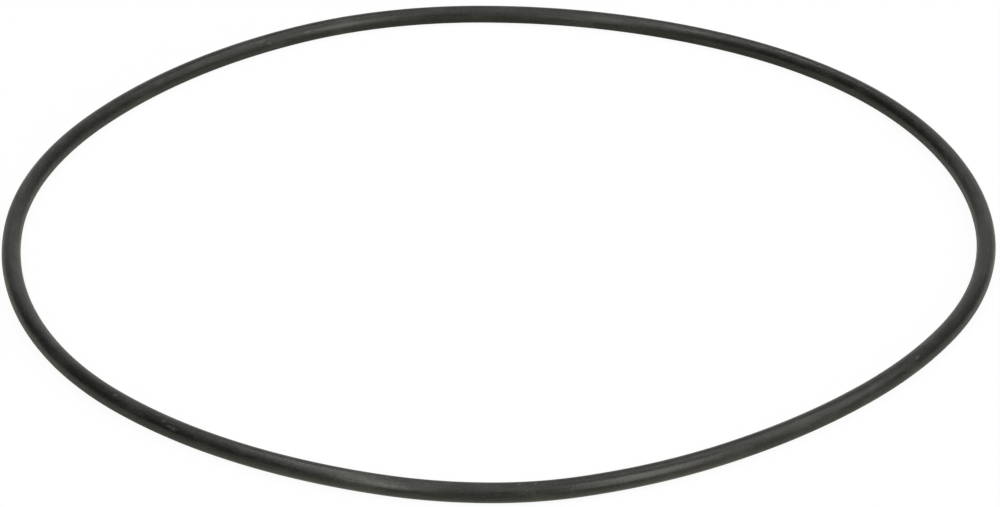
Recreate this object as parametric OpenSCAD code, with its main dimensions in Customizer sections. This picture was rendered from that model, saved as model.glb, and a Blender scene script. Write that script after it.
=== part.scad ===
// Engine sealing ring: a round rubber cord moulded as one endless ring, as it lies free on a flat surface.
// Nothing holds a free ring round, so its middle line bulges a little in sets of evenly spaced lobes.
// The middle of the ring stands over the origin, and +Z points up, square to the ring.

/* [Ring] */
// Inside diameter that the ring has in its groove, where it is held round
inside_d = 150; // [140:1:200]
// Diameter of the round cord
cord_d = 3; // [2:0.1:6]

/* [Free form] */
// How far two lobes rise out of the true circle, as an oval
two_lobe_rise = 0.75; // [0:0.05:2]
// Direction of one of the two lobes, from +X towards +Y
two_lobe_turn = 51; // [0:1:180]
// How far three lobes rise out of the true circle
three_lobe_rise = 0.55; // [0:0.05:1]
// Direction of one of the three lobes
three_lobe_turn = 12; // [0:1:120]
// How far four lobes rise out of the true circle
four_lobe_rise = 0.55; // [0:0.05:1]
// Direction of one of the four lobes
four_lobe_turn = 5; // [0:1:90]
// How far five lobes rise out of the true circle
five_lobe_rise = 0.3; // [0:0.05:0.6]
// Direction of one of the five lobes
five_lobe_turn = 51; // [0:1:72]
// How far six lobes rise out of the true circle
six_lobe_rise = 0.35; // [0:0.05:0.5]
// Direction of one of the six lobes
six_lobe_turn = 40; // [0:1:60]
// How far seven lobes rise out of the true circle
seven_lobe_rise = 0.1; // [0:0.05:0.2]
// Direction of one of the seven lobes
seven_lobe_turn = 13; // [0:1:51]

/* [Hidden] */
$fn = 96;

// Black rubber as it looks in soft light
rubber_color = [0.25, 0.25, 0.24];

// Radius of the cord's middle line where the ring is held round
ring_r = (inside_d + cord_d) / 2;

// The middle line is a closed chain of arcs that all turn by the same angle
arcs_per_quarter = 6;
arcs = 4 * arcs_per_quarter;
arc_turn = 360 / arcs;

// Number, rise and direction of each set of lobes
lobes = [
    [2, two_lobe_rise, two_lobe_turn],
    [3, three_lobe_rise, three_lobe_turn],
    [4, four_lobe_rise, four_lobe_turn],
    [5, five_lobe_rise, five_lobe_turn],
    [6, six_lobe_rise, six_lobe_turn],
    [7, seven_lobe_rise, seven_lobe_turn]
];

// Share of a millimetre that a place is rounded to before its remainder is added
fine_share = 0.001;

// Direction that points out of the ring at angle a
function outward(a) = [cos(a), sin(a)];

// Sum of the numbers in a list, from its i-th on
function total(list, i = 0) = i < len(list) ? list[i] + total(list, i + 1) : 0;

// Change of a circle's bend radius, at angle a from a lobe, where n lobes rise out of it
function lobe_bend(n, rise, a) = rise * (1 - n * n) * cos(n * a);

// Bend radius of the i-th arc, taken at the arc's middle
function bend_r(i) =
    ring_r + total([for (lobe = lobes) lobe_bend(lobe[0], lobe[1], (i + 0.5) * arc_turn - lobe[2])]);

// Step along the middle line from the start of the i-th arc to its end
function arc_step(i) = bend_r(i) * (outward((i + 1) * arc_turn) - outward(i * arc_turn));

// Start of the i-th arc, seen from the start of the first
function arc_start(i) = i > 0 ? arc_start(i - 1) + arc_step(i - 1) : [0, 0];

// Middle of the ring: its leftmost, rightmost, nearest and farthest points are where the quarters meet
ring_mid = [
    arc_start(0).x + arc_start(2 * arcs_per_quarter).x,
    arc_start(arcs_per_quarter).y + arc_start(3 * arcs_per_quarter).y
] / 2;

// Moves its children by v in a coarse and a fine step, so that neighbouring arcs end in the same circle
module place(v) {
    coarse = [for (c = v) round(c / fine_share) * fine_share];
    translate(coarse)
        translate(v - coarse)
            children();
}

// The i-th stretch of cord: its round section swept along an arc that runs on from the last without a kink
module cord_arc(i) {
    centre = arc_start(i) - bend_r(i) * outward(i * arc_turn) - ring_mid;
    place([centre.x, centre.y, cord_d / 2])
        rotate_extrude(start = i * arc_turn, angle = arc_turn)
            place([bend_r(i), 0, 0])
                circle(d = cord_d);
}

// The whole ring, one solid
module o_ring() {
    color(rubber_color)
        for (i = [0 : arcs - 1])
            cord_arc(i);
}

o_ring();
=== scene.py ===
from math import cos, pi, radians, sin, tau

import bpy
import numpy as np
from mathutils import Matrix, Vector, noise


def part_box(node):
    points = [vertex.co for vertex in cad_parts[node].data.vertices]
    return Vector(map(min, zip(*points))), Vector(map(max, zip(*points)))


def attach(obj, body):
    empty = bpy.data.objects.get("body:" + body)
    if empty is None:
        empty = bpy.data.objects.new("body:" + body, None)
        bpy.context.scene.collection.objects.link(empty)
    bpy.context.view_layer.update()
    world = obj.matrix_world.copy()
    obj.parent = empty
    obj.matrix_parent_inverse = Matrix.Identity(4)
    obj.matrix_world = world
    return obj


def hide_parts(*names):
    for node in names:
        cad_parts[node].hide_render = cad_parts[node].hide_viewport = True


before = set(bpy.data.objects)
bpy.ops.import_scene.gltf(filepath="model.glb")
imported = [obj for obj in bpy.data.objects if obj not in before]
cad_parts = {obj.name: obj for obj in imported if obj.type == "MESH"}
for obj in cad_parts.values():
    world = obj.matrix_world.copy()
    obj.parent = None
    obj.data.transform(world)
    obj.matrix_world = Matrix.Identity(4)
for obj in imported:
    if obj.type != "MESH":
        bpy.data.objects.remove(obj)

scene = bpy.context.scene
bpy.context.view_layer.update()  # the solid's box, before anything is added to the scene
mmPerMetre = 1000


# Node helpers: inputs are values or the output sockets that feed them
def addNode(tree, kind, inputs=None, **settings):
    node = tree.nodes.new(kind)
    for name, value in settings.items():
        setattr(node, name, value)
    for socket, value in (inputs or {}).items():
        if isinstance(value, bpy.types.NodeSocket):
            tree.links.new(value, node.inputs[socket])
        else:
            node.inputs[socket].default_value = value
    return node


def calc(tree, operation, *values):
    return addNode(tree, "ShaderNodeMath", dict(enumerate(values)), operation=operation).outputs[0]


def remap(tree, value, start, end, low=0.0, high=1.0, kind="SMOOTHSTEP"):
    inputs = {"Value": value, "From Min": start, "From Max": end, "To Min": low, "To Max": high}
    return addNode(tree, "ShaderNodeMapRange", inputs, interpolation_type=kind).outputs["Result"]


def blendColours(tree, share, first, second):
    node = addNode(tree, "ShaderNodeMix", {"Factor": share}, data_type="RGBA")
    for socket, value in ((node.inputs[6], first), (node.inputs[7], second)):  # its colour sockets
        if isinstance(value, bpy.types.NodeSocket):
            tree.links.new(value, socket)
        else:
            socket.default_value = (*value, 1)
    return node.outputs[2]


def newGroup(name, inputs, outputs):
    group = bpy.data.node_groups.new(name, "ShaderNodeTree")
    for label, value in inputs.items():
        socket = group.interface.new_socket(label, in_out="INPUT", socket_type="NodeSocketFloat")
        socket.default_value = value
    for label in outputs:
        group.interface.new_socket(label, in_out="OUTPUT", socket_type="NodeSocketFloat")
    return group, group.nodes.new("NodeGroupInput").outputs, group.nodes.new("NodeGroupOutput").inputs


# Camera: level, looking down on the ring from the near side
cameraSetup = {
    "elevation": 29.275,             # degrees above the floor
    "distance": 0.64365,             # metres from the point looked at
    "lens": 148.33,                  # millimetres on the sensor below
    "sensor": 36,
    "lookAt": (0.000146, -0.008017, 0.0015),
}


def makeCamera(setup):
    data = bpy.data.cameras.new("camera")
    data.lens = setup["lens"]
    data.sensor_fit = "HORIZONTAL"
    data.sensor_width = setup["sensor"]
    tilt = radians(setup["elevation"])
    right = Vector((1, 0, 0))
    up = Vector((0, sin(tilt), cos(tilt)))
    back = Vector((0, -cos(tilt), sin(tilt)))
    camera = bpy.data.objects.new("camera", data)
    camera.matrix_world = Matrix((right, up, back)).transposed().to_4x4()
    camera.location = Vector(setup["lookAt"]) + back * setup["distance"]
    scene.collection.objects.link(camera)
    scene.camera = camera


makeCamera(cameraSetup)
print("camera set")


# Ring: a round cord along a closed chain of tangent arcs, as the solid has it
cordLow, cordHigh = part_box("o_ring")
ringForm = {
    "cord": cordHigh[2] - cordLow[2],   # diameter of the cord
    "inside": 0.150,                    # diameter inside the ring where it is held round
    "lobes": (                          # number, rise in metres, direction in degrees
        (2, 0.00075, 51),
        (3, 0.00055, 12),
        (4, 0.00055, 5),
        (5, 0.00030, 51),
        (6, 0.00035, 40),
        (7, 0.00010, 13),
    ),
    "arcs": 24,
    "stations": 56,                     # cross sections along each arc
    "sides": 48,                        # even steps round the cord
    "seamTurns": (-4, -2, 2, 4),        # degrees, finer steps beside the mould's parting line
    "seamHeight": 0.000009,
    "skinDip": 0.000010,                # how deep the moulded skin is uneven
    "skinSize": 0.0021,
    "bakeRows": 7,                      # the skin is laid out flat in this many strips
    "bakeGap": 0.04,                    # share of a strip's height left clear, and half that of its width
}


def bendRadius(form, arc):
    middle = (arc + 0.5) * tau / form["arcs"]
    radius = (form["inside"] + form["cord"]) / 2
    for number, rise, direction in form["lobes"]:
        radius += rise * (1 - number ** 2) * cos(number * (middle - radians(direction)))
    return radius


def middleLine(form):
    count = form["arcs"] * form["stations"]
    angles = np.arange(count + 1) * tau / count
    outward = np.stack((np.cos(angles), np.sin(angles)), axis=1)
    radii = np.repeat([bendRadius(form, arc) for arc in range(form["arcs"])], form["stations"])
    steps = radii[:, None] * np.diff(outward, axis=0)
    points = np.vstack(((0, 0), np.cumsum(steps, axis=0)))[:-1]
    points -= (points.max(axis=0) + points.min(axis=0)) / 2
    along = np.concatenate(((0,), np.cumsum(radii))) / radii.sum()
    return points, outward[:-1], along


def sectionTurns(form):
    turns = list(np.arange(form["sides"]) * 360 / form["sides"] - 90)
    turns += [side + step for side in (0, 180) for step in form["seamTurns"]]
    return np.radians(sorted(turns))


# The parting line stands where the mould's halves met, inside and outside
def seamShare(form, turn):
    reach = radians(max(form["seamTurns"]))
    away = abs((turn + pi / 2) % pi - pi / 2)
    return max(0, 1 - away / reach)


def skinPoints(form):
    points, outward, along = middleLine(form)
    turns = sectionTurns(form)
    seams = [seamShare(form, turn) for turn in turns]
    radius = form["cord"] / 2
    lift = form["seamHeight"] + form["skinDip"]
    verts = []
    for point, out in zip(points, outward):
        for turn, seam in zip(turns, seams):
            side = Vector((out[0] * cos(turn), out[1] * cos(turn), sin(turn)))
            middle = Vector((point[0], point[1], radius))
            rough = 0.5 + 0.5 * noise.noise((middle + side * radius) / form["skinSize"])
            reach = radius - lift + form["skinDip"] * rough + form["seamHeight"] * seam
            verts.append(middle + side * reach)
    return verts, along, turns


def makeRing(form):
    verts, along, turns = skinPoints(form)
    count = len(along) - 1
    sides = len(turns)
    around = np.append((turns + pi / 2) / tau, 1)
    faces = []
    for i in range(count):
        for k in range(sides):
            ahead = (i + 1) % count
            above = (k + 1) % sides
            faces.append((i * sides + k, ahead * sides + k, ahead * sides + above, i * sides + above))
    mesh = bpy.data.meshes.new("rubberRing")
    mesh.from_pydata(verts, [], faces)
    mesh.shade_smooth()

    # cordLay runs 0 to 1 along the ring and round the cord; OFBake lays the skin out in strips
    station, side = (index.ravel() for index in np.meshgrid(range(count), range(sides), indexing="ij"))
    corners = ((0, 0), (1, 0), (1, 1), (0, 1))
    lay = np.stack([np.stack((along[station + i], around[side + k]), axis=1) for i, k in corners], axis=1)
    perRow = count // form["bakeRows"]
    row = station // perRow
    across = np.stack([(station - row * perRow + i) / perRow for i, k in corners], axis=1)
    height = np.stack([around[side + k] for i, k in corners], axis=1)
    gap = form["bakeGap"]
    across = gap / 4 + across * (1 - gap / 2)
    height = (row[:, None] + gap / 2 + height * (1 - gap)) / form["bakeRows"]
    for name, grid in (("cordLay", lay), ("OFBake", np.stack((across, height), axis=2))):
        layer = mesh.uv_layers.new(name=name)
        layer.data.foreach_set("uv", grid.astype(np.float32).ravel())
    mesh.uv_layers["cordLay"].active_render = True
    ring = bpy.data.objects.new("rubberRing", mesh)
    scene.collection.objects.link(ring)
    return ring


ring = makeRing(ringForm)
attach(ring, "root")
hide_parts("o_ring")
print("ring made,", len(ring.data.polygons), "faces")


# Grain that closes on itself along the ring and round the cord: sizes in millimetres
def cordGrainGroup(form):
    group, inputs, outputs = newGroup(
        "cordGrain", {"Size": 1, "Stretch": 1, "Detail": 2, "Seed": 0}, ("Value",))
    lay = addNode(group, "ShaderNodeUVMap", uv_map="cordLay").outputs["UV"]
    place = addNode(group, "ShaderNodeSeparateXYZ", {0: lay}).outputs
    ringReach = (form["inside"] + form["cord"]) / 2 * mmPerMetre
    cordReach = form["cord"] / 2 * mmPerMetre
    stretched = calc(group, "MULTIPLY", inputs["Size"], inputs["Stretch"])
    lengthwise = calc(group, "DIVIDE", ringReach, stretched)
    crosswise = calc(group, "DIVIDE", cordReach, inputs["Size"])
    circles = []
    for turn, reach in ((place["X"], lengthwise), (place["Y"], crosswise)):
        angle = calc(group, "MULTIPLY", turn, tau)
        circles += [calc(group, "MULTIPLY", calc(group, wave, angle), reach) for wave in ("COSINE", "SINE")]
    vector = addNode(group, "ShaderNodeCombineXYZ", dict(enumerate(circles[:3]))).outputs[0]
    grain = addNode(group, "ShaderNodeTexNoise", {
        "Vector": vector,
        "W": calc(group, "ADD", circles[3], inputs["Seed"]),
        "Scale": 1,
        "Detail": inputs["Detail"],
    }, noise_dimensions="4D")
    group.links.new(grain.outputs[0], outputs["Value"])
    return group


# One patch: an oval at a place on the cord, with a ragged edge
def cordPatchGroup(form, look, grain):
    group, inputs, outputs = newGroup(
        "cordPatch", {"Along": 0, "Around": 0, "Length": 1, "Width": 1, "Ragged": 1, "Seed": 0}, ("Mask",))
    lay = addNode(group, "ShaderNodeUVMap", uv_map="cordLay").outputs["UV"]
    place = addNode(group, "ShaderNodeSeparateXYZ", {0: lay}).outputs
    ringRound = pi * (form["inside"] + form["cord"]) * mmPerMetre
    cordRound = pi * form["cord"] * mmPerMetre
    reaches = []
    for turn, spot, around, size in (
        (place["X"], inputs["Along"], ringRound, inputs["Length"]),
        (place["Y"], inputs["Around"], cordRound, inputs["Width"]),
    ):
        away = calc(group, "MULTIPLY", calc(group, "SUBTRACT", turn, spot), around)
        reaches.append(calc(group, "POWER", calc(group, "DIVIDE", away, size), 2))
    oval = calc(group, "SQRT", calc(group, "ADD", *reaches))
    rag = addNode(group, "ShaderNodeGroup", node_tree=grain)
    for name, value in look["edgeGrain"].items():
        rag.inputs[name].default_value = value
    group.links.new(inputs["Seed"], rag.inputs["Seed"])
    uneven = calc(group, "MULTIPLY", calc(group, "SUBTRACT", rag.outputs[0], 0.5), inputs["Ragged"])
    mask = remap(group, calc(group, "ADD", oval, uneven), *look["edgeFade"])
    group.links.new(mask, outputs["Mask"])
    return group


# Rubber: black under a thin pale film, scuffed in places and rubbed smoother in others
rubberLook = {
    "black": (0.0026, 0.0026, 0.0023),
    "film": (0.0315, 0.0316, 0.0284),       # what the rubber sweats out
    "dust": (0.10, 0.10, 0.094),
    "grains": {                             # size in millimetres, drawn out along the cord by the stretch
        "cloud": {"Size": 2.0, "Stretch": 2.6, "Detail": 4, "Seed": 3},
        "streak": {"Size": 0.42, "Stretch": 14, "Detail": 3, "Seed": 11},
        "line": {"Size": 0.15, "Stretch": 45, "Detail": 2, "Seed": 23},
        "fine": {"Size": 0.21, "Stretch": 1.4, "Detail": 4, "Seed": 31},
        "speck": {"Size": 0.34, "Stretch": 1.3, "Detail": 1, "Seed": 43},
    },
    "filmShares": {"cloud": 0.50, "streak": 0.34, "line": 0.20, "fine": 0.62},
    "filmLimits": (0.47, 0.71),             # grain values where the film starts and is full
    "speckLimits": (0.68, 0.78),
    "speckShare": 0.40,                     # dust in a speck, next to that in a scuff
    "rubShares": {"line": 0.4, "streak": 0.6},
    "rubLimits": (0.3, 0.7),                # grain values where it is rubbed least and most
    "roughness": (0.41, 0.25),              # at those limits
    "polished": 0.27,                       # roughness of the handled stretches
    "reliefs": {"streak": 0.000025, "line": 0.0000070, "fine": 0.0000110},  # depths in metres
    "ior": 1.5,
    "specularTint": (1.0, 1.0, 0.92, 1.0),
    "dusting": 0.5,                         # share of dust in a scuff
    "edgeGrain": {"Size": 0.22, "Stretch": 2, "Detail": 3},  # for the ragged edges of scuffs and patches
    "edgeFade": (1.1, 0.1),                 # shares of a patch's reach where it ends and where it is full
    "scuffEdge": {"Ragged": 3, "Seed": 50},
    "smoothEdge": {"Ragged": 1.6, "Seed": 80},
    "scuffs": (                             # along and around as shares of a turn, length and width in mm
        (0.6212, 0.453, 0.40, 0.28),
        (0.6454, 0.371, 0.55, 0.25),
        (0.6472, 0.366, 0.70, 0.35),
        (0.6425, 0.425, 0.50, 0.25),
        (0.9040, 0.410, 0.75, 0.26),
        (0.7621, 0.478, 0.70, 0.20),
        (0.7573, 0.492, 0.70, 0.15),
        (0.3379, 0.678, 0.45, 0.28),
        (0.3410, 0.614, 0.80, 0.24),
        (0.3222, 0.658, 0.60, 0.25),
    ),
    "smoothPatches": (                      # handled stretches, written like the scuffs
        (0.686, 0.440, 10, 0.50),
        (0.716, 0.360, 13, 0.60),
        (0.793, 0.360, 28, 0.50),
        (0.868, 0.380, 16, 0.40),
    ),
}


def grainValue(tree, group, values):
    node = addNode(tree, "ShaderNodeGroup", node_tree=group)
    for name, value in values.items():
        node.inputs[name].default_value = value
    return node.outputs[0]


def patchMask(tree, group, patches, edge):
    mask = None
    for number, (along, around, length, width) in enumerate(patches):
        patch = grainValue(tree, group, {
            "Along": along, "Around": around, "Length": length, "Width": width,
            "Ragged": edge["Ragged"], "Seed": edge["Seed"] + number})
        mask = patch if mask is None else calc(tree, "MAXIMUM", mask, patch)
    return mask


def sumShares(tree, values, shares):
    total = 0
    for name, share in shares.items():
        total = calc(tree, "ADD", total, calc(tree, "MULTIPLY", values[name], share))
    return total


def rubberMaterial(look, form):
    material = bpy.data.materials.new("blackRubber")
    material.use_nodes = True
    tree = material.node_tree
    shader = tree.nodes["Principled BSDF"]
    grain = cordGrainGroup(form)
    patch = cordPatchGroup(form, look, grain)
    grains = {name: grainValue(tree, grain, values) for name, values in look["grains"].items()}
    scuffs = patchMask(tree, patch, look["scuffs"], look["scuffEdge"])
    polish = patchMask(tree, patch, look["smoothPatches"], look["smoothEdge"])

    # Colour: the film lies in clouds and drawn-out streaks, with dust in its scuffs and specks
    films = {name: remap(tree, grains[name], *look["filmLimits"]) for name in look["filmShares"]}
    film = sumShares(tree, films, look["filmShares"])
    colour = blendColours(tree, film, look["black"], look["film"])
    specks = calc(tree, "MULTIPLY", remap(tree, grains["speck"], *look["speckLimits"]), look["speckShare"])
    dust = calc(tree, "MULTIPLY", calc(tree, "MAXIMUM", scuffs, specks), look["dusting"])
    tree.links.new(blendColours(tree, dust, colour, look["dust"]), shader.inputs["Base Color"])

    # Gloss: rubbed smooth in streaks, most of all where it was handled
    rubbed = sumShares(tree, grains, look["rubShares"])
    gloss = remap(tree, rubbed, *look["rubLimits"], *look["roughness"], kind="LINEAR")
    roughness = addNode(tree, "ShaderNodeMix", {"Factor": polish, "A": gloss, "B": look["polished"]})
    tree.links.new(roughness.outputs[0], shader.inputs["Roughness"])

    # Relief: drawn-out ridges, fine lines along the cord, and the mould's grain
    normal = None
    for name, depth in look["reliefs"].items():
        bump = addNode(tree, "ShaderNodeBump", {"Height": grains[name], "Distance": depth, "Strength": 1})
        if normal:
            tree.links.new(normal, bump.inputs["Normal"])
        normal = bump.outputs["Normal"]
    tree.links.new(normal, shader.inputs["Normal"])

    shader.inputs["IOR"].default_value = look["ior"]
    shader.inputs["Specular Tint"].default_value = look["specularTint"]
    return material


ring.data.materials.append(rubberMaterial(rubberLook, ringForm))
print("rubber finished")


# Floor: lit by the lamps like any paper, and whitened where it is seen, so that its shadow stays faint
floorSetup = {
    "size": 6.0,                        # metres
    "paper": (0.595, 0.575, 0.49),      # what lights and mirrors in the ring
    "seen": (0.98, 0.98, 0.98),
    "whitening": 0.94,                  # share of pure white in the floor as it is seen
    "mirrored": 0.08,                   # share of the seen floor in reflections
    "paintedFrontGlow": (0.414, 0.414, 0.338),  # painted reflection: a glow seen only in reflections, on the paper just in front of the ring, that lightens the ring's lower side
    "frontReach": (-0.058, -0.074),     # metres along Y, where that glow starts and is full
    "frontFade": (0.0775, 0.0825),      # metres from the ring's middle, where it fades out
}


def floorMaterial(setup):
    material = bpy.data.materials.new("whiteFloor")
    material.use_nodes = True
    tree = material.node_tree
    tree.nodes.clear()
    path = addNode(tree, "ShaderNodeLightPath").outputs
    place = addNode(tree, "ShaderNodeNewGeometry").outputs["Position"]
    forward = addNode(tree, "ShaderNodeSeparateXYZ", {0: place}).outputs["Y"]
    away = addNode(tree, "ShaderNodeVectorMath", {0: place}, operation="LENGTH").outputs["Value"]
    # Painted reflection: the paper just in front of the ring glows in reflections only, lighting the ring's
    # lower side though it is no lamp
    nearby = remap(tree, away, *setup["frontFade"], 1.0, 0.0)
    front = remap(tree, forward, *setup["frontReach"], 0.0, nearby)
    glow = addNode(tree, "ShaderNodeEmission", {
        "Color": (*setup["paintedFrontGlow"], 1),
        "Strength": calc(tree, "MULTIPLY", path["Is Glossy Ray"], front),
    })
    mirrored = calc(tree, "MULTIPLY", path["Is Glossy Ray"], setup["mirrored"])
    shown = calc(tree, "MAXIMUM", path["Is Camera Ray"], path["Is Transmission Ray"])
    plain = addNode(tree, "ShaderNodeBsdfDiffuse", {"Color": (*setup["paper"], 1)})
    # the paper as it lights and mirrors in the ring, with the painted front glow added for reflections
    paper = addNode(tree, "ShaderNodeAddShader", {0: plain.outputs[0], 1: glow.outputs[0]})
    seen = addNode(tree, "ShaderNodeBsdfDiffuse", {"Color": (*setup["seen"], 1)})
    white = addNode(tree, "ShaderNodeEmission", {"Color": (1, 1, 1, 1), "Strength": 1})
    whitened = addNode(tree, "ShaderNodeMixShader", {
        0: setup["whitening"], 1: seen.outputs[0], 2: white.outputs[0]})
    surface = addNode(tree, "ShaderNodeMixShader", {
        0: calc(tree, "MAXIMUM", shown, mirrored), 1: paper.outputs[0], 2: whitened.outputs[0]})
    addNode(tree, "ShaderNodeOutputMaterial", {"Surface": surface.outputs[0]})
    return material


def makeFloor(setup):
    reach = setup["size"] / 2
    mesh = bpy.data.meshes.new("floor")
    corners = [(-reach, -reach, 0), (reach, -reach, 0), (reach, reach, 0), (-reach, reach, 0)]
    mesh.from_pydata(corners, [], [(0, 1, 2, 3)])
    mesh.materials.append(floorMaterial(setup))
    floor = bpy.data.objects.new("floor", mesh)
    scene.collection.objects.link(floor)


makeFloor(floorSetup)
print("floor laid")


# Studio: flat panels of light that reach from end to end and face the ring, in a soft tent
studioPanels = {                        # metres; a radiance of 1 shows as white
    "leftStrip": {
        "ends": ((-0.24, -0.505, 0.085), (-0.283, -0.50, 0.508)),
        "width": 0.081,
        "radiance": 6.2,
    },
    "leftPanel": {
        "ends": ((-0.38, -0.625, 0.633), (-0.152, 1.275, 1.238)),
        "width": 0.082,
        "radiance": 5.9,
    },
    "rightBox": {
        "ends": ((1.085, -1.42, 0.08), (0.90, -0.57, 1.575)),
        "width": 0.588,
        "radiance": 3.5,
    },
    "rightPanel": {
        "ends": ((0.07, 0.43, 0.81), (1.74, -0.655, 0.197)),
        "width": 0.28,
        "radiance": 1.71,
    },
}
tentLight = {
    "left": 0.071,                      # light from each side
    "right": 0.155,
    "crossing": (-0.5, 0.5),            # sines, where left passes into right
    "glows": (                          # direction, cosines where it starts and is full, light
        ((0, -1, 0), 0.7, 1.0, 0.312),
        ((0, 1, 0), 0.6, 1.0, 0.56),
        ((0, 0, 1), 0.5, 0.9, 0.19),
        ((0, -0.34, 0.94), 0.7, 1.0, 0.71),
    ),
}


def makePanels(panels):
    for name, panel in panels.items():
        start, end = (Vector(place) for place in panel["ends"])
        middle = (start + end) / 2
        along = (end - start).normalized()
        facing = (middle - middle.dot(along) * along).normalized()
        data = bpy.data.lights.new(name, "AREA")
        data.shape = "RECTANGLE"
        data.size = panel["width"]
        data.size_y = (end - start).length
        data.energy = panel["radiance"] * pi * data.size * data.size_y
        light = bpy.data.objects.new(name, data)
        light.matrix_world = Matrix((along.cross(facing), along, facing)).transposed().to_4x4()
        light.location = middle
        light.visible_camera = False
        scene.collection.objects.link(light)


def makeTent(tent):
    world = bpy.data.worlds.new("tent")
    scene.world = world
    world.use_nodes = True
    tree = world.node_tree
    tree.nodes.clear()
    way = addNode(tree, "ShaderNodeTexCoord").outputs["Generated"]
    across = addNode(tree, "ShaderNodeSeparateXYZ", {0: way}).outputs["X"]
    light = remap(tree, across, *tent["crossing"], tent["left"], tent["right"])
    for direction, start, full, strength in tent["glows"]:
        toward = addNode(tree, "ShaderNodeVectorMath", {0: way, 1: direction}, operation="DOT_PRODUCT")
        glow = remap(tree, toward.outputs["Value"], start, full, 0.0, strength)
        light = calc(tree, "ADD", light, glow)
    path = addNode(tree, "ShaderNodeLightPath").outputs
    shown = calc(tree, "MAXIMUM", path["Is Camera Ray"], path["Is Transmission Ray"])
    shade = addNode(tree, "ShaderNodeBackground", {
        "Color": (1, 1, 1, 1), "Strength": calc(tree, "MAXIMUM", light, shown)})
    addNode(tree, "ShaderNodeOutputWorld", {"Surface": shade.outputs[0]})


makePanels(studioPanels)
makeTent(tentLight)
scene.view_settings.view_transform = "Standard"
print("studio lit")
